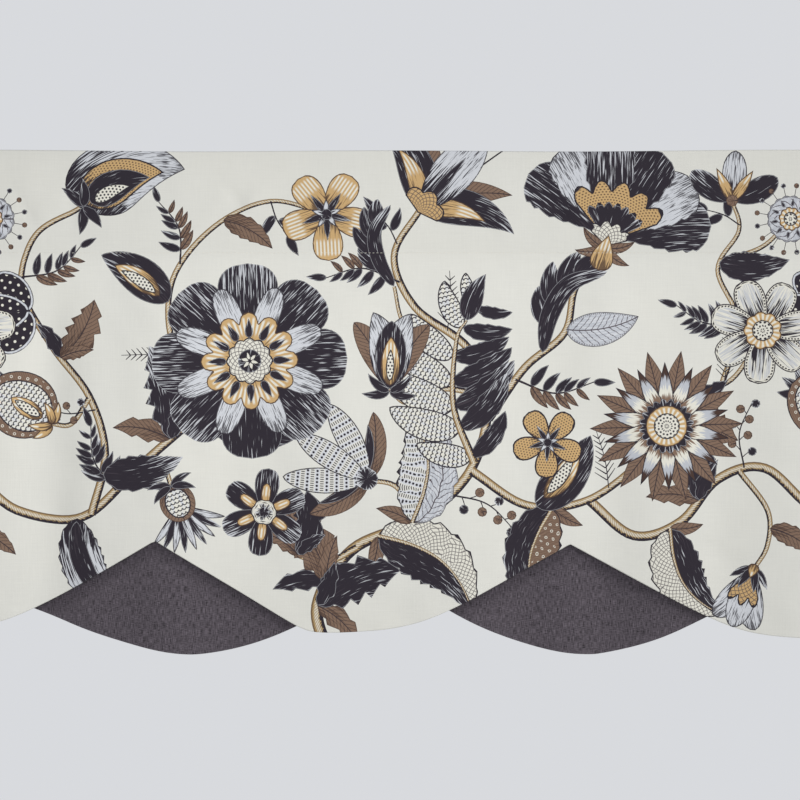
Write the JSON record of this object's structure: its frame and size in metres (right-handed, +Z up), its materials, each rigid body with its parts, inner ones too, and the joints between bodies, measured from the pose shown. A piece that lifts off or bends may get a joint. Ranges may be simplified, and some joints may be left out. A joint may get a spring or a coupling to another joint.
{
  "type": "window valance",
  "caption": "Rod-pocket window valance in a trailing floral print, its lower edge scalloped with peaks and charcoal inserts behind them.",
  "frame": {"origin": "middle of the top edge, where the valance hangs", "axes": "+X along the valance, +Y from the printed face to the back, +Z up"},
  "size_m": [1.2704, 0.0217, 0.4353],
  "materials": {
    "printed_cloth": "matte",
    "pocket_cloth": "matte",
    "insert_cloth": "matte"
  },
  "bodies": {
    "root": {"face_panel": "printed_cloth", "pocket_strip": "pocket_cloth", "insert_left": "insert_cloth", "insert_centre": "insert_cloth", "insert_right": "insert_cloth"}
  },
  "joints": []
}
